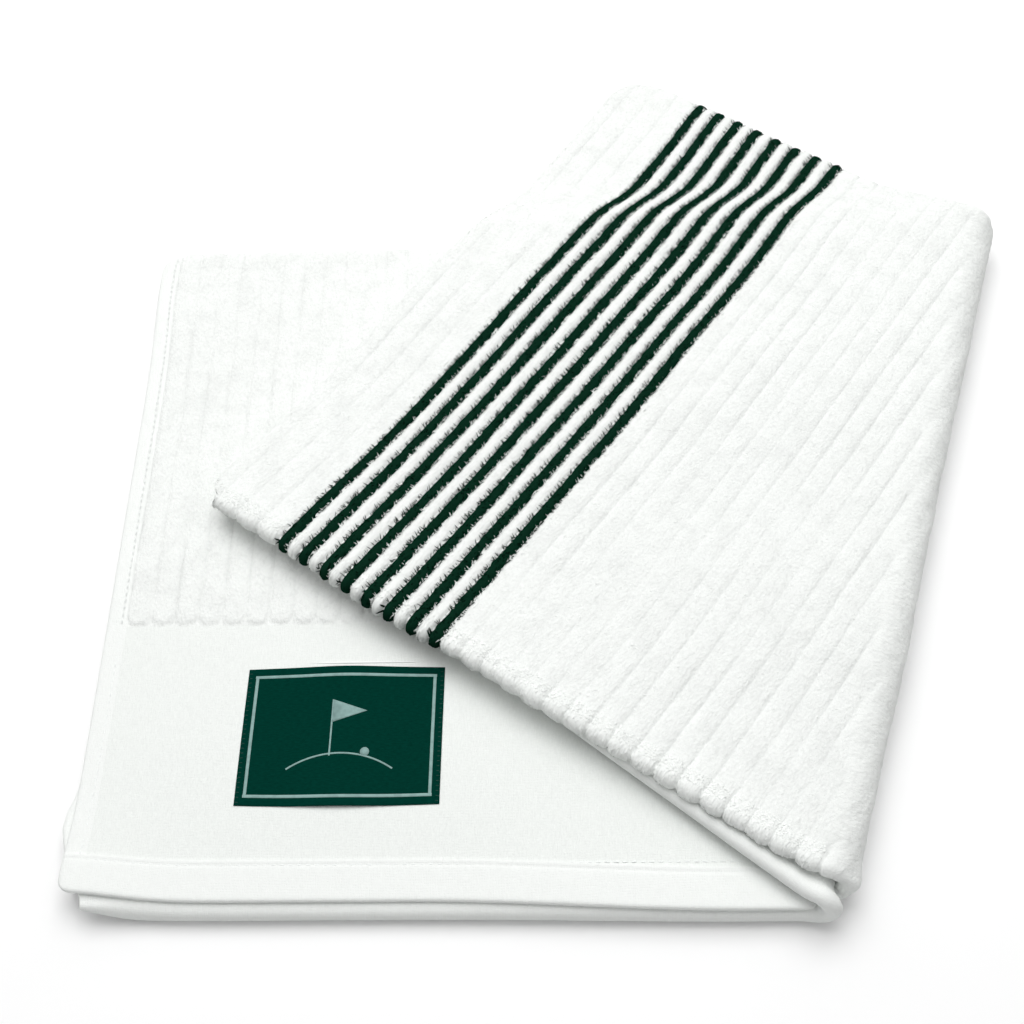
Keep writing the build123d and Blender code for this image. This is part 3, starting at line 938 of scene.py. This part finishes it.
def woven_line(points, width, raised=0.0):
    """A line of thread on the label, as a low rounded band: where its points are, and its faces."""
    points = np.array(points)
    along = np.gradient(points, axis=0)
    along = along / np.linalg.norm(along, axis=1)[:, None]
    shares = np.array([-1, -0.8, 0, 0.8, 1])
    u = points[:, :1] - along[:, 1:] * shares * width / 2
    v = points[:, 1:] + along[:, :1] * shares * width / 2
    heights = np.array([-0.25, 0.0, 0.06, 0.0, -0.25]) + LABEL_TOP + raised + 0 * u
    return (u, v, heights), grid_faces(*u.shape)


def woven_patch(outline):
    """A flat shape of thread on the label inside an outline: where its points are, and its faces."""
    corners = np.array(outline)
    count = len(corners)
    heights = np.repeat([LABEL_TOP + 0.05, LABEL_TOP - 0.25], count)
    rim = [[there, here, here + count, there + count] for here, there in enumerate([*range(1, count), 0])]
    u, v = np.tile(corners.T, 2)
    return (u, v, heights), [list(range(count)), *rim]


def label_frame():
    """The line round the label, a little in from its edge."""
    near, far = LABEL_INSET, LABEL_DEPTH - LABEL_INSET
    left, right = LABEL_INSET, LABEL_WIDTH - LABEL_INSET
    over = LABEL_LINE / 2
    bands = [woven_line(line((left - over, y), (right + over, y), 50), LABEL_LINE) for y in (near, far)]
    return bands + [woven_line(line((x, near), (x, far), 40), LABEL_LINE, 0.01) for x in (left, right)]


def label_motif():
    """A pennant on a pole, the ground below it and a ball."""
    pole, foot, head = LABEL_WIDTH / 2 - 4, 19.0, 41.0
    bands = [woven_line(line((pole, foot), (pole, head)), 0.8)]
    corners = [(pole, head), (pole + 13, head - 4.5), (pole, head - 9)]
    sides = [line(here, there)[:-1] for here, there in zip(corners, corners[1:] + corners[:1])]
    bands.append(woven_patch(sum(sides, [])))
    bands.append(woven_line(arc((LABEL_WIDTH / 2, -14), 34, 55, 125), 0.8))
    bands.append(woven_patch(arc((LABEL_WIDTH / 2 + 9, 20.4), 1.7, 0, 345)))
    return bands


def make_label_lines():
    """The frame and the motif woven into the label, as one piece."""
    (u, v, raised), faces = joined(label_frame() + label_motif())
    material = yarn_material("thread_pale", 0.15)
    return add_piece("label_lines", "thread_pale", material, label_place(u, v, raised), faces)


def stitch(place, angle, length, width, height):
    """One rounded stitch: where its points are, and its faces."""
    shares = np.linspace(-1, 1, 7)[:, None]
    turns = np.linspace(0, 2 * math.pi, 8, endpoint=False)
    along = shares * length / 2 + 0 * turns
    thick = np.sqrt(np.clip(1.03 - shares ** 2, 0, 1))
    across = thick * np.cos(turns) * width / 2
    x = place[0] + along * math.cos(angle) - across * math.sin(angle)
    y = place[1] + along * math.sin(angle) + across * math.cos(angle)
    z = place[2] + thick * np.sin(turns) * height / 2 - 0.10 * shares ** 2
    ends = [list(range(8))[::-1], list(range(x.size - 8, x.size))]
    return (x, y, z), grid_faces(*x.shape, closed=True) + ends


def stitches(name, places, heading, length, width, height, slot):
    """Stitches at places (x, y, z) in the flat stack, each lying roughly along the heading."""
    turned = [heading + 0.08 * math.sin(5.1 * number) for number in range(len(places))]
    parts = [stitch(place, angle, length, width, height) for place, angle in zip(places, turned)]
    return add_piece(name, slot, thread_material(slot), *joined(parts))


def label_stitch_places(u):
    """Stitches down one side of the label."""
    v = np.arange(1.2, LABEL_DEPTH - 0.8, 1.9)
    return list(zip(*label_place(u + 0 * v, v, LABEL_THICK / 2 + 0.02)))


def cloth_top(x, y):
    """Height of the base's top surface in the flat stack."""
    return float(cloth_surface(at_along(BASE_ROWS, np.array([y])), np.array([x]), True)[2][0])


STITCH_PITCH = 3.1      # of both hems


def hem_stitches(name, places, heading):
    """White stitches of a hem, on the base's top surface."""
    seats = [(x, y, cloth_top(x, y) + 0.02) for x, y in places]
    return stitches(name, seats, heading, 2.1, 0.42, 0.3, "thread_white")


def make_end_hem_stitches():
    """The seam of the end hem, from the side hem to the side fold."""
    places = [(x, HEM - SEAM_IN) for x in np.arange(9, BASE_WIDTH - 6, STITCH_PITCH)]
    return hem_stitches("end_hem_stitches", places, 0)


def make_side_hem_stitches():
    """The seam of the side hem, from the end hem to the far fold."""
    places = [(SIDE_HEM - SEAM_IN, y) for y in np.arange(HEM, FAR_CENTRE, STITCH_PITCH)]
    return hem_stitches("side_hem_stitches", places, math.pi / 2)


def make_loose_thread():
    """The loose white thread that lies beyond the label."""
    x, y = LABEL_LEFT + 46, LABEL_NEAR + LABEL_DEPTH + 2.6
    return stitches("loose_thread", [(x, y, cloth_top(x, y) + 0.1)], 0, 46, 0.7, 0.6, "thread_white")


green_stripes = make_stripes()
white_loops = make_white_loops()
green_loops = make_green_loops()
label = make_label()
label_lines = make_label_lines()
label_stitches = {
    side: stitches(f"label_stitches_{side}", label_stitch_places(u), 0, 1.3, 0.42, 0.3, "thread_green")
    for side, u in (("left", 1.0), ("right", LABEL_WIDTH - 1.0))}
end_hem_stitches = make_end_hem_stitches()
loose_thread = make_loose_thread()
side_hem_stitches = make_side_hem_stitches()


# ---- floor and light ----
FLOOR_WHITE = (0.945, 0.945, 0.945, 1)


def make_floor():
    """A plain white floor."""
    mesh = bpy.data.meshes.new("floor")
    half = 3.0          # metres
    corners = [(-half, -half, 0), (half, -half, 0), (half, half, 0), (-half, half, 0)]
    mesh.from_pydata(corners, [], [(0, 1, 2, 3)])
    material = bpy.data.materials.new("floor_white")
    material.use_nodes = True
    surface = material.node_tree.nodes["Principled BSDF"]
    surface.inputs["Base Color"].default_value = FLOOR_WHITE
    surface.inputs["Roughness"].default_value = 0.9
    new_object("floor", mesh, material)


def make_light(name, place, size, power):
    """A square soft light that faces the towel. Metres and watts."""
    data = bpy.data.lights.new(name, "AREA")
    data.size = size
    data.energy = power
    light = bpy.data.objects.new(name, data)
    bpy.context.scene.collection.objects.link(light)
    light.location = place
    light.rotation_euler = (-Vector(place)).to_track_quat("-Z", "Y").to_euler()


def make_world(strength):
    """Even white light from all round."""
    world = bpy.data.worlds.new("world")
    world.use_nodes = True
    background = world.node_tree.nodes["Background"]
    background.inputs["Color"].default_value = (1, 1, 1, 1)
    background.inputs["Strength"].default_value = strength
    bpy.context.scene.world = world


make_floor()
make_world(strength=0.09)
make_light("key", place=(-0.05, 0.45, 1.5), size=1.2, power=15)
make_light("fill", place=(-0.05, 0.2, 1.1), size=3.0, power=23)
bpy.context.scene.view_settings.view_transform = "Standard"

# ---- what moves with what, and the frame's own parts hidden ----
nodes = sorted(frame["nodes"])
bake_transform(side_fold_cloth)
sewn_on_base = (end_hem_stitches, side_hem_stitches, loose_thread)
for piece in (base_cloth, label, label_lines, *label_stitches.values(), *sewn_on_base):
    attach(piece, "base")
for piece in (flap_cloth, green_stripes, white_loops, green_loops):
    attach(piece, "flap")
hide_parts(*[node for node in nodes if node.startswith("base_")])
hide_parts(*[node for node in nodes if node.startswith("side_fold")])
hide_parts(*[node for node in nodes if node.startswith("flap_")])
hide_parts("green_stripes")
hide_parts("label")
for side, piece in label_stitches.items():
    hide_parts(f"label_stitches_{side}")
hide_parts("end_hem_stitches")
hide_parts("side_hem_stitches")
